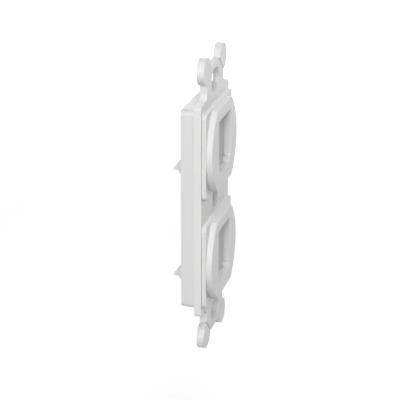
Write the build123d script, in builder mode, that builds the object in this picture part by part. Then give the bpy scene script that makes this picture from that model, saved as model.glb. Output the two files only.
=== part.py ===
"""Duplex module frame: a moulded strap for a wall box that holds two snap-in modules.

Millimetres. X runs to the right as seen from the front, the front faces -Y and Z is up.
The origin is the centre of the strap's front face, midway between the two module faces.
The whole frame is one injection moulding, so it is one solid.
"""

import os
from math import radians, tan

from build123d import *

# Strap, the flat plate that everything else grows from
strap_width = 36.4
strap_height = 74.1
strap_thickness = 2.5
strap_corner = 1.3

# Necks that reach out above and below the strap, with clipped corners
neck_width = 21.5
neck_reach = 10.45
neck_height = strap_height + 2 * neck_reach
neck_clip = 5.3
neck_fillet = 2.3

# Slots in the necks for the box screws, with a shallow relief across the back of each
slot_inset = 5.85
slot_pitch = neck_height - 2 * slot_inset
slot_length = 10.2
slot_width = 7.9
relief_reach = 1.9
relief_width = slot_length + 2 * relief_reach
relief_height = 4.2
relief_depth = 0.3

# Break-off ears that bear on the plaster, each with a scored line at its root
ear_radius = 4.5
ear_inset_x = 0.15
ear_inset_z = 0.5
ear_pitch_x = neck_width - 2 * ear_inset_x
ear_pitch_z = neck_height - 2 * ear_inset_z
score_width = 0.7
score_depth = 0.9

# Module faces: a raised pad and on it a round face, cut flat above and below
face_pitch = 38.9
pad_inset = 1.1
pad_width = strap_width - 2 * pad_inset
pad_height = 29.4
pad_corner = 1.6
pad_rise = 1.35
face_inset = 0.3
face_radius = pad_width / 2 - face_inset
flats_inset = 0.7
face_flats = pad_height - 2 * flats_inset
face_rise = 2.0
edge_round = 0.2

# Opening in each face, with a narrower notch below it, from the centre of the face
opening_width = 15.9
opening_above = 10.0
opening_below = 6.7
notch_step = 1.25
notch_width = opening_width - 2 * notch_step
notch_depth = 1.95

# Hollow behind each face
face_wall = 2.3
hollow_side_wall = 2.8
hollow_end_wall = 1.8
hollow_radius = face_radius - hollow_side_wall
hollow_flats = face_flats - 2 * hollow_end_wall

# Skirt round the back, sized at its free rim
skirt_inset = 2.2
skirt_width = strap_width - 2 * skirt_inset
skirt_height = strap_height - 2 * skirt_inset
skirt_depth = 5.1
skirt_corner = 1.5
skirt_inner_corner = 0.75
skirt_wall = 1.7
skirt_draft = 2.0

# Post between the faces, recessed and bored for the faceplate screw, with a rib each side
post_diameter = 9.6
post_bore = 2.9
recess_diameter = 6.7
recess_depth = 1.9
rib_thickness = 1.2
rib_setback = 1.0

# Spring latch below each opening: a beam, a catch on top of it and a sloping nose
latch_width = 5.0
latch_gap = 0.2
latch_thickness = 2.2
latch_grip = 8.2
catch_height = 2.4
catch_land = 1.1
nose_slope = 50.0
nose_thinning = 1.1
nose_step = 0.5
nose_round = 0.65

# Fixed catch above each opening
hook_width = 9.0
hook_gap = 0.3
hook_thickness = 1.5
hook_lip = 1.3
hook_setback = 0.4

# Levels that several features share
face_rows = (face_pitch / 2, -face_pitch / 2)
face_front = pad_rise + face_rise
hollow_floor = face_wall - face_front
skirt_rim = strap_thickness + skirt_depth

# How closely a corner's place has to match
tolerance = 0.01


def front_view(y, z=0):
    """A sketch plane at depth y, drawn as seen from the front, that faces -Y."""
    return Plane(origin=(0, y, z), x_dir=(1, 0, 0), z_dir=(0, -1, 0))


def side_view(z):
    """A sketch plane in the middle of the frame, with Y to the right and Z up."""
    return Plane(origin=(0, 0, z), x_dir=(0, 1, 0), z_dir=(1, 0, 0))


def ear_root(side, end):
    """A plane across one ear's root, where its disc leaves the clipped corner of the neck."""
    clip_line = neck_width / 2 + neck_height / 2 - neck_clip
    inset = (ear_pitch_x / 2 + ear_pitch_z / 2 - clip_line) / 2
    origin = (side * (ear_pitch_x / 2 - inset), 0, end * (ear_pitch_z / 2 - inset))
    return Plane(origin=origin, x_dir=(side, 0, end), z_dir=(end, 0, -side))


with BuildPart() as module_frame:
    # Strap, necks and ears share one flat outline
    with BuildSketch(front_view(strap_thickness)) as outline:
        Rectangle(neck_width, neck_height)
        chamfer(outline.vertices(), neck_clip)
        RectangleRounded(strap_width, strap_height, strap_corner)
        shoulders = [
            corner
            for corner in outline.vertices()
            if abs(abs(corner.X) - neck_width / 2) < tolerance
            and abs(abs(corner.Y) - strap_height / 2) < tolerance
        ]
        fillet(shoulders, neck_fillet)
        with GridLocations(ear_pitch_x, ear_pitch_z, 2, 2):
            Circle(ear_radius)
    extrude(amount=strap_thickness)

    # A scored line across the front of each ear's root lets it be snapped off
    for side in (-1, 1):
        for end in (-1, 1):
            with BuildSketch(ear_root(side, end)):
                with BuildLine():
                    Polyline(
                        (-score_width / 2, 0),
                        (score_width / 2, 0),
                        (0, -score_depth),
                        close=True,
                    )
                make_face()
            extrude(amount=ear_radius, both=True, mode=Mode.SUBTRACT)

    # Raised pads, then the round faces, with their front edges eased
    for row in face_rows:
        with BuildSketch(front_view(0, row)):
            RectangleRounded(pad_width, pad_height, pad_corner)
        extrude(amount=pad_rise)
    fillet(module_frame.faces().filter_by(Axis.Y).group_by(Axis.Y)[0].edges(), edge_round)
    for row in face_rows:
        with BuildSketch(front_view(-pad_rise, row)):
            Circle(face_radius)
            Rectangle(2 * face_radius, face_flats, mode=Mode.INTERSECT)
        extrude(amount=face_rise)
    fillet(module_frame.faces().filter_by(Axis.Y).group_by(Axis.Y)[0].edges(), edge_round)

    # Skirt, tapered by its draft, hollow inside
    with BuildSketch(front_view(skirt_rim)):
        RectangleRounded(skirt_width, skirt_height, skirt_corner)
    extrude(amount=skirt_depth, taper=-skirt_draft)
    with BuildSketch(front_view(skirt_rim)):
        RectangleRounded(
            skirt_width - 2 * skirt_wall,
            skirt_height - 2 * skirt_wall,
            skirt_inner_corner,
        )
    extrude(amount=skirt_depth, mode=Mode.SUBTRACT)

    # Hollow behind each face
    for row in face_rows:
        with BuildSketch(front_view(strap_thickness, row)):
            Circle(hollow_radius)
            Rectangle(2 * hollow_radius, hollow_flats, mode=Mode.INTERSECT)
        extrude(amount=strap_thickness - hollow_floor, mode=Mode.SUBTRACT)

    # Opening and notch through each face
    for row in face_rows:
        with BuildSketch(front_view(hollow_floor, row)):
            with Locations((0, (opening_above - opening_below) / 2)):
                Rectangle(opening_width, opening_above + opening_below)
            with Locations((0, -opening_below)):
                Rectangle(notch_width, notch_depth, align=(Align.CENTER, Align.MAX))
        extrude(amount=face_wall, mode=Mode.SUBTRACT)

    # Post and ribs between the two hollows
    with BuildSketch(front_view(skirt_rim)):
        Circle(post_diameter / 2)
    extrude(amount=skirt_depth)
    with BuildSketch(front_view(skirt_rim - rib_setback)):
        Rectangle(skirt_width - skirt_wall, rib_thickness)
    extrude(amount=skirt_depth - rib_setback)
    with Locations(front_view(0)):
        CounterBoreHole(post_bore / 2, recess_diameter / 2, recess_depth)

    # Slots for the box screws, then the relief across the back of each
    with BuildSketch(front_view(strap_thickness)):
        with GridLocations(0, slot_pitch, 1, 2):
            SlotOverall(slot_length, slot_width)
    extrude(amount=strap_thickness, mode=Mode.SUBTRACT)
    with BuildSketch(front_view(strap_thickness)):
        with GridLocations(0, slot_pitch, 1, 2):
            Rectangle(relief_width, relief_height)
    extrude(amount=relief_depth, mode=Mode.SUBTRACT)

    # Spring latches
    beam_top = -opening_below - notch_depth - latch_gap
    beam_bottom = beam_top - latch_thickness
    crest = beam_top + catch_height
    nose_bottom = beam_bottom + nose_thinning
    catch_front = strap_thickness + latch_grip
    catch_back = catch_front + catch_land
    nose_corner = catch_back + (crest - nose_bottom) / tan(radians(nose_slope))
    for row in face_rows:
        with BuildSketch(side_view(row)) as latch:
            with BuildLine():
                Polyline(
                    (hollow_floor, beam_top),
                    (catch_front, beam_top),
                    (catch_front, crest),
                    (catch_back, crest),
                    (nose_corner, nose_bottom),
                    (catch_back + nose_step, nose_bottom),
                    (catch_back, beam_bottom),
                    (hollow_floor, beam_bottom),
                    close=True,
                )
            make_face()
            fillet(latch.vertices().sort_by(Axis.X)[-1], nose_round)
        extrude(amount=latch_width / 2, both=True)

    # Fixed catches
    hook_bottom = opening_above + hook_gap
    hook_end = skirt_rim - hook_setback
    for row in face_rows:
        with BuildSketch(side_view(row)):
            with BuildLine():
                Polyline(
                    (hollow_floor, hook_bottom),
                    (hook_end - hook_thickness, hook_bottom),
                    (hook_end - hook_thickness, hook_bottom - hook_lip),
                    (hook_end, hook_bottom - hook_lip),
                    (hook_end, hook_bottom + hook_thickness),
                    (hollow_floor, hook_bottom + hook_thickness),
                    close=True,
                )
            make_face()
        extrude(amount=hook_width / 2, both=True)

module_frame.part.label = "module_frame"

os.makedirs("parts", exist_ok=True)
export_step(module_frame.part, "parts/module_frame.step")
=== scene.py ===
"""Duplex module frame: the finish of its moulding, and a small studio to see it in.

Every length is in metres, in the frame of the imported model: X to the right as seen from the
front, the front faces -Y and Z is up.
"""

from math import radians

import bpy
from bpy.props import FloatProperty, FloatVectorProperty, PointerProperty
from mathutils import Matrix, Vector


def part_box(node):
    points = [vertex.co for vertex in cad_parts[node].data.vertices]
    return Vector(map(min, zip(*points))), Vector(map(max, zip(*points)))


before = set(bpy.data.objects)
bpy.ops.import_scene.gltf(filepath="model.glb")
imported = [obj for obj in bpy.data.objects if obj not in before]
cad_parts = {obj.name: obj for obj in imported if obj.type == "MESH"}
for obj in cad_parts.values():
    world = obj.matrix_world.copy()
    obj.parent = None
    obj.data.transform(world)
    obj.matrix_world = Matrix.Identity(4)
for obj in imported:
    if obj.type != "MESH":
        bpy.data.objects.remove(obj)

bl_info = {
    "name": "Duplex module frame",
    "version": (1, 0, 0),
    "blender": (4, 5, 0),
    "location": "View3D > Sidebar > Module frame",
    "description": "Finishes a moulded duplex module frame and sets up its studio",
    "category": "Object",
}

MM = 0.001
FRAME_NODE = "module_frame"
CAD_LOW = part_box(FRAME_NODE)[0]
PART_MIDDLE = (0.0, 0.0, 0.0)

# Depth of the strap's back face, where the satin front gives way to the matt skirt and the colour darkens
# as painted shade
STRAP_BACK = 2.5 * MM
BLEND = 0.05 * MM

# Patterns in the plastic: how fine each is, and how far it swings the tone or the roughness
FLOW_SCALE = 45.0
FLOW_SWING = 0.015
SMEAR_SCALE = 160.0
SMEAR_SWING = 0.04

# Studio floor from its middle to its edges, and the tone of its paper
FLOOR_REACH = 3.0
PAPER_TONE = 0.9

# The shadow falls inside the first distance; from the second on the floor is plain white
SHADOW_REACH = 0.3
WHITE_REACH = 0.9

# Soft lamps all round, by their direction from the middle of the part, and the small near one
LAMP_SIDE = 0.5
LAMP_DISTANCE = 1.2
LAMPS_FROM = {
    "key": (-0.913, -0.161, 0.375),
    "low_left": (-0.978, 0.0, 0.208),
    "top": (-0.407, -0.235, 0.883),
    "right": (0.612, -0.612, 0.5),
    "rear_right": (0.847, 0.489, 0.208),
    "rear_left": (-0.656, 0.656, 0.375),
}
NEAR_SIDE = 0.12
NEAR_DISTANCE = 0.35
NEAR_FROM = (-0.5, 0.0, 0.866)


class MouldingSettings(bpy.types.PropertyGroup):
    """The white plastic of the moulding"""

    colour: FloatVectorProperty(
        name="Plastic colour",
        description="Base colour of the moulded plastic",
        subtype="COLOR",
        size=4,
        min=0.0,
        max=1.0,
        default=(0.75, 0.75, 0.745, 1.0),
    )
    roughness: FloatProperty(
        name="Roughness",
        description="Mean roughness of the satin front",
        subtype="FACTOR",
        min=0.0,
        max=1.0,
        default=0.3,
    )
    rear_roughness: FloatProperty(
        name="Rear roughness",
        description="Mean roughness of the matt skirt and back",
        subtype="FACTOR",
        min=0.0,
        max=1.0,
        default=0.42,
    )
    # Painted shade: the colour of the skirt and back is darkened by this factor, standing in for the
    # shade under the strap's overhang
    rear_shade_tone: FloatProperty(
        name="Rear tone",
        description="Brightness of the matt skirt and back against the front",
        subtype="FACTOR",
        min=0.0,
        max=1.0,
        default=0.93,
    )
    grain_size: FloatProperty(
        name="Grain size",
        description="Spacing of the fine spark-eroded grain",
        subtype="DISTANCE",
        unit="LENGTH",
        min=0.01 * MM,
        default=0.22 * MM,
    )
    grain_depth: FloatProperty(
        name="Grain depth",
        description="Height of the grain",
        subtype="DISTANCE",
        unit="LENGTH",
        min=0.0,
        default=0.004 * MM,
    )
    edge_radius: FloatProperty(
        name="Edge radius",
        description="Small round that a mould leaves on every corner",
        subtype="DISTANCE",
        unit="LENGTH",
        min=0.0,
        default=0.12 * MM,
    )


class StudioSettings(bpy.types.PropertyGroup):
    """Floor, lamps and camera"""

    camera_at: FloatVectorProperty(
        name="Camera position",
        description="Where the photograph was taken from",
        subtype="TRANSLATION",
        unit="LENGTH",
        default=(-0.437965, -0.112718, 0.167555),
    )
    camera_aim: FloatVectorProperty(
        name="Camera aim",
        description="Point in the middle of the picture",
        subtype="TRANSLATION",
        unit="LENGTH",
        default=(-0.002408, 0.004659, -0.000554),
    )
    focal_length: FloatProperty(
        name="Focal length",
        description="Focal length in millimetres on a 36 mm sensor",
        min=10.0,
        default=127.27,
    )
    floor_drop: FloatProperty(
        name="Floor drop",
        description="How far the floor lies below the lowest ears",
        subtype="DISTANCE",
        unit="LENGTH",
        min=0.0,
        default=0.05,
    )
    floor_bounce: FloatProperty(
        name="Floor bounce",
        description="Share of the light that the floor throws back at the part",
        subtype="FACTOR",
        min=0.0,
        max=1.0,
        default=0.3,
    )
    floor_lift: FloatProperty(
        name="Floor lift",
        description="Light added to the floor as it is seen, so that it looks white and keeps its shadow",
        min=0.0,
        default=0.33,
    )
    key_power: FloatProperty(
        name="Key power",
        description="Power of the main lamp on the left",
        unit="POWER",
        min=0.0,
        default=7.17,
    )
    low_left_power: FloatProperty(
        name="Low left power",
        description="Power of the lamp below the key lamp",
        unit="POWER",
        min=0.0,
        default=2.39,
    )
    top_power: FloatProperty(
        name="Top power",
        description="Power of the lamp high on the left",
        unit="POWER",
        min=0.0,
        default=3.04,
    )
    right_power: FloatProperty(
        name="Right power",
        description="Power of the lamp in front on the right",
        unit="POWER",
        min=0.0,
        default=6.71,
    )
    rear_right_power: FloatProperty(
        name="Rear right power",
        description="Power of the low lamp behind on the right",
        unit="POWER",
        min=0.0,
        default=4.97,
    )
    rear_left_power: FloatProperty(
        name="Rear left power",
        description="Power of the lamp behind on the left",
        unit="POWER",
        min=0.0,
        default=2.38,
    )
    near_power: FloatProperty(
        name="Near power",
        description="Power of the small lamp close above, brightest at the top ears",
        unit="POWER",
        min=0.0,
        default=0.108,
    )


def grey(tone):
    """A grey as a colour socket takes it."""
    return (tone, tone, tone, 1.0)


def place(nodes, kind, x, y, **values):
    """Add a shader node at a place in the editor and set the inputs that are named."""
    node = nodes.new(kind)
    node.location = (x, y)
    for name, value in values.items():
        node.inputs[name.replace("_", " ")].default_value = value
    return node


def moulded_skin_group():
    """The skin of a moulding: faint flow shading, uneven gloss and a fine eroded grain."""
    group = bpy.data.node_groups.new("Moulded skin", "ShaderNodeTree")
    sockets = group.interface
    sockets.new_socket("Grain size", in_out="INPUT", socket_type="NodeSocketFloat")
    sockets.new_socket("Gloss", in_out="INPUT", socket_type="NodeSocketFloat")
    sockets.new_socket("Flow", in_out="OUTPUT", socket_type="NodeSocketFloat")
    sockets.new_socket("Roughness", in_out="OUTPUT", socket_type="NodeSocketFloat")
    sockets.new_socket("Height", in_out="OUTPUT", socket_type="NodeSocketFloat")
    nodes, links = group.nodes, group.links
    given = place(nodes, "NodeGroupInput", -900, 0)
    made = place(nodes, "NodeGroupOutput", 500, 0)
    spot = place(nodes, "ShaderNodeTexCoord", -900, 300)

    # Flow shading
    flow = place(nodes, "ShaderNodeTexNoise", -500, 300, Scale=FLOW_SCALE, Detail=3.0, Roughness=0.5)
    links.new(spot.outputs["Object"], flow.inputs["Vector"])
    links.new(flow.outputs["Fac"], made.inputs["Flow"])

    # Uneven gloss
    smear = place(nodes, "ShaderNodeTexNoise", -500, 0, Scale=SMEAR_SCALE, Detail=4.0, Roughness=0.6)
    links.new(spot.outputs["Object"], smear.inputs["Vector"])
    spread = place(nodes, "ShaderNodeMapRange", -200, 0, To_Min=-SMEAR_SWING, To_Max=SMEAR_SWING)
    links.new(smear.outputs["Fac"], spread.inputs["Value"])
    gloss = place(nodes, "ShaderNodeMath", 100, 0)
    gloss.operation = "ADD"
    links.new(given.outputs["Gloss"], gloss.inputs[0])
    links.new(spread.outputs["Result"], gloss.inputs[1])
    links.new(gloss.outputs["Value"], made.inputs["Roughness"])

    # Grain, as fine as its size asks for
    pitch = place(nodes, "ShaderNodeMath", -700, -300)
    pitch.operation = "DIVIDE"
    pitch.inputs[0].default_value = 1.0
    links.new(given.outputs["Grain size"], pitch.inputs[1])
    grain = place(nodes, "ShaderNodeTexNoise", -500, -300, Detail=2.0, Roughness=0.55)
    links.new(spot.outputs["Object"], grain.inputs["Vector"])
    links.new(pitch.outputs["Value"], grain.inputs["Scale"])
    links.new(grain.outputs["Fac"], made.inputs["Height"])
    return group


def white_plastic(settings):
    """White moulded plastic, satin in front and matt behind the strap, with its colour darkened behind
    the strap as painted shade.
    """
    material = bpy.data.materials.new("White moulded plastic")
    material.use_nodes = True
    nodes, links = material.node_tree.nodes, material.node_tree.links
    nodes.clear()
    output = place(nodes, "ShaderNodeOutputMaterial", 900, 0)
    plastic = place(nodes, "ShaderNodeBsdfPrincipled", 600, 0, IOR=1.49)

    # Mask that is 0 from the strap forwards and 1 behind it, for the matt roughness and the painted shade
    # behind the strap
    spot = place(nodes, "ShaderNodeTexCoord", -1100, 200)
    axes = place(nodes, "ShaderNodeSeparateXYZ", -900, 200)
    rear = place(nodes, "ShaderNodeMapRange", -700, 200)
    rear.inputs["From Min"].default_value = STRAP_BACK - BLEND
    rear.inputs["From Max"].default_value = STRAP_BACK + BLEND
    links.new(spot.outputs["Object"], axes.inputs["Vector"])
    links.new(axes.outputs["Y"], rear.inputs["Value"])

    gloss = place(nodes, "ShaderNodeMapRange", -500, 0)
    gloss.inputs["To Min"].default_value = settings.roughness
    gloss.inputs["To Max"].default_value = settings.rear_roughness
    links.new(rear.outputs["Result"], gloss.inputs["Value"])
    skin = place(nodes, "ShaderNodeGroup", -250, 0)
    skin.node_tree = moulded_skin_group()
    skin.inputs["Grain size"].default_value = settings.grain_size
    links.new(gloss.outputs["Result"], skin.inputs["Gloss"])

    # Painted shade: behind the strap the plastic colour is darkened, standing in for the shade the strap
    # casts on the skirt
    front_colour = Vector(settings.colour[:3])
    shaded_rear_colour = front_colour * settings.rear_shade_tone
    shade_mix = place(nodes, "ShaderNodeMix", -250, 400)
    shade_mix.data_type = "RGBA"
    shade_mix.inputs["A"].default_value = (*front_colour, 1.0)
    shade_mix.inputs["B"].default_value = (*shaded_rear_colour, 1.0)
    links.new(rear.outputs["Result"], shade_mix.inputs["Factor"])
    flow = place(nodes, "ShaderNodeMapRange", 50, 200, To_Min=1 - FLOW_SWING, To_Max=1 + FLOW_SWING)
    links.new(skin.outputs["Flow"], flow.inputs["Value"])
    tint = place(nodes, "ShaderNodeVectorMath", 300, 300)
    tint.operation = "SCALE"
    links.new(shade_mix.outputs["Result"], tint.inputs["Vector"])
    links.new(flow.outputs["Result"], tint.inputs["Scale"])
    bump = place(nodes, "ShaderNodeBump", 300, -300, Distance=settings.grain_depth)

    links.new(tint.outputs["Vector"], plastic.inputs["Base Color"])
    links.new(skin.outputs["Roughness"], plastic.inputs["Roughness"])
    links.new(skin.outputs["Height"], bump.inputs["Height"])
    links.new(bump.outputs["Normal"], plastic.inputs["Normal"])
    links.new(plastic.outputs["BSDF"], output.inputs["Surface"])
    return material


def white_seen(nodes, links):
    """A mask that is 1 for what the camera sees directly, in gloss or through glass."""
    path = place(nodes, "ShaderNodeLightPath", -700, 300)
    seen = place(nodes, "ShaderNodeMath", -500, 300)
    seen.operation = "MAXIMUM"
    mask = place(nodes, "ShaderNodeMath", -300, 300)
    mask.operation = "MAXIMUM"
    links.new(path.outputs["Is Camera Ray"], seen.inputs[0])
    links.new(path.outputs["Is Glossy Ray"], seen.inputs[1])
    links.new(seen.outputs["Value"], mask.inputs[0])
    links.new(path.outputs["Is Transmission Ray"], mask.inputs[1])
    return mask.outputs["Value"]


def pale_floor(settings):
    """Matt paper that is seen as white, with the part's shadow kept."""
    material = bpy.data.materials.new("Pale floor")
    material.use_nodes = True
    nodes, links = material.node_tree.nodes, material.node_tree.links
    nodes.clear()
    output = place(nodes, "ShaderNodeOutputMaterial", 600, 0)
    seen = white_seen(nodes, links)

    # Paper, pale where it is seen and darker for the light it throws back
    tone = place(nodes, "ShaderNodeMix", -100, 100)
    tone.data_type = "RGBA"
    tone.inputs["A"].default_value = grey(settings.floor_bounce)
    tone.inputs["B"].default_value = grey(PAPER_TONE)
    links.new(seen, tone.inputs["Factor"])
    paper = place(nodes, "ShaderNodeBsdfDiffuse", 150, 100)
    links.new(tone.outputs["Result"], paper.inputs["Color"])

    # Added light, which rises from the lift at the shadow to full white farther out
    spot = place(nodes, "ShaderNodeTexCoord", -900, -200)
    away = place(nodes, "ShaderNodeVectorMath", -700, -200)
    away.operation = "LENGTH"
    links.new(spot.outputs["Object"], away.inputs["Vector"])
    rise = place(nodes, "ShaderNodeMapRange", -500, -200, From_Min=SHADOW_REACH, From_Max=WHITE_REACH)
    rise.inputs["To Min"].default_value = settings.floor_lift
    links.new(away.outputs["Value"], rise.inputs["Value"])
    level = place(nodes, "ShaderNodeMath", -100, -200)
    level.operation = "MULTIPLY"
    links.new(seen, level.inputs[0])
    links.new(rise.outputs["Result"], level.inputs[1])
    lift = place(nodes, "ShaderNodeEmission", 150, -200, Color=grey(1.0))
    links.new(level.outputs["Value"], lift.inputs["Strength"])

    both = place(nodes, "ShaderNodeAddShader", 400, 0)
    links.new(paper.outputs["BSDF"], both.inputs[0])
    links.new(lift.outputs["Emission"], both.inputs[1])
    links.new(both.outputs["Shader"], output.inputs["Surface"])
    return material


def white_sky():
    """A sky that is seen as plain white, also in gloss, and gives no other light."""
    world = bpy.data.worlds.new("Studio sky")
    bpy.context.scene.world = world
    world.use_nodes = True
    nodes, links = world.node_tree.nodes, world.node_tree.links
    nodes.clear()
    output = place(nodes, "ShaderNodeOutputWorld", 200, 0)
    sky = place(nodes, "ShaderNodeBackground", -100, 0, Color=grey(1.0))
    links.new(white_seen(nodes, links), sky.inputs["Strength"])
    links.new(sky.outputs["Background"], output.inputs["Surface"])


def aim(thing, target):
    """Turn a lamp or a camera so that it looks at a point."""
    direction = Vector(target) - thing.location
    thing.rotation_euler = direction.to_track_quat("-Z", "Y").to_euler()


def soft_lamp(name, direction, power, distance=LAMP_DISTANCE, side=LAMP_SIDE):
    """A square lamp that shines on the part from one direction."""
    data = bpy.data.lights.new(name, "AREA")
    data.shape = "SQUARE"
    data.size = side
    data.energy = power
    lamp = bpy.data.objects.new(name, data)
    bpy.context.scene.collection.objects.link(lamp)
    lamp.location = Vector(direction).normalized() * distance
    aim(lamp, PART_MIDDLE)


class MODULEFRAME_OT_moulding(bpy.types.Operator):
    """Give the moulded frame its white plastic and its small edge rounds"""

    bl_idname = "moduleframe.moulding"
    bl_label = "Finish the moulding"

    def execute(self, context):
        settings = context.scene.moulding_settings
        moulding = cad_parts[FRAME_NODE]
        moulding.data.materials.clear()
        moulding.data.materials.append(white_plastic(settings))
        rounds = moulding.modifiers.new("Edge rounds", "BEVEL")
        rounds.width = settings.edge_radius
        rounds.segments = 2
        rounds.limit_method = "ANGLE"
        rounds.angle_limit = radians(40)
        rounds.harden_normals = True
        return {"FINISHED"}


class MODULEFRAME_OT_studio(bpy.types.Operator):
    """Set up the floor, the lamps, the sky and the camera"""

    bl_idname = "moduleframe.studio"
    bl_label = "Set up the studio"

    def execute(self, context):
        settings = context.scene.studio_settings
        level = CAD_LOW[2] - settings.floor_drop
        signs = ((-1, -1), (1, -1), (1, 1), (-1, 1))
        corners = [(x * FLOOR_REACH, y * FLOOR_REACH, level) for x, y in signs]
        mesh = bpy.data.meshes.new("floor")
        mesh.from_pydata(corners, [], [(0, 1, 2, 3)])
        floor = bpy.data.objects.new("floor", mesh)
        mesh.materials.append(pale_floor(settings))
        context.scene.collection.objects.link(floor)

        for name, direction in LAMPS_FROM.items():
            power = getattr(settings, f"{name}_power")
            soft_lamp(f"{name}_lamp", direction, power)
        soft_lamp("near_lamp", NEAR_FROM, settings.near_power, NEAR_DISTANCE, NEAR_SIDE)
        white_sky()

        data = bpy.data.cameras.new("camera")
        data.sensor_fit = "HORIZONTAL"
        data.lens = settings.focal_length
        data.clip_start = 10 * MM
        camera = bpy.data.objects.new("camera", data)
        context.scene.collection.objects.link(camera)
        camera.location = settings.camera_at
        aim(camera, settings.camera_aim)
        context.scene.camera = camera
        context.scene.view_settings.view_transform = "Standard"
        return {"FINISHED"}


class MODULEFRAME_PT_panel(bpy.types.Panel):
    """Sidebar panel with the steps and their settings"""

    bl_label = "Module frame"
    bl_idname = "MODULEFRAME_PT_panel"
    bl_space_type = "VIEW_3D"
    bl_region_type = "UI"
    bl_category = "Module frame"

    def draw(self, context):
        layout = self.layout
        for settings, operator in (
            (context.scene.moulding_settings, MODULEFRAME_OT_moulding),
            (context.scene.studio_settings, MODULEFRAME_OT_studio),
        ):
            box = layout.box()
            for name in settings.__annotations__:
                box.prop(settings, name)
            box.operator(operator.bl_idname)


CLASSES = (
    MouldingSettings,
    StudioSettings,
    MODULEFRAME_OT_moulding,
    MODULEFRAME_OT_studio,
    MODULEFRAME_PT_panel,
)


def register():
    for each in CLASSES:
        bpy.utils.register_class(each)
    bpy.types.Scene.moulding_settings = PointerProperty(type=MouldingSettings)
    bpy.types.Scene.studio_settings = PointerProperty(type=StudioSettings)


def unregister():
    del bpy.types.Scene.studio_settings
    del bpy.types.Scene.moulding_settings
    for each in reversed(CLASSES):
        bpy.utils.unregister_class(each)


def main():
    register()
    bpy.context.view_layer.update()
    bpy.ops.moduleframe.moulding()
    bpy.ops.moduleframe.studio()


if __name__ == "__main__":
    main()
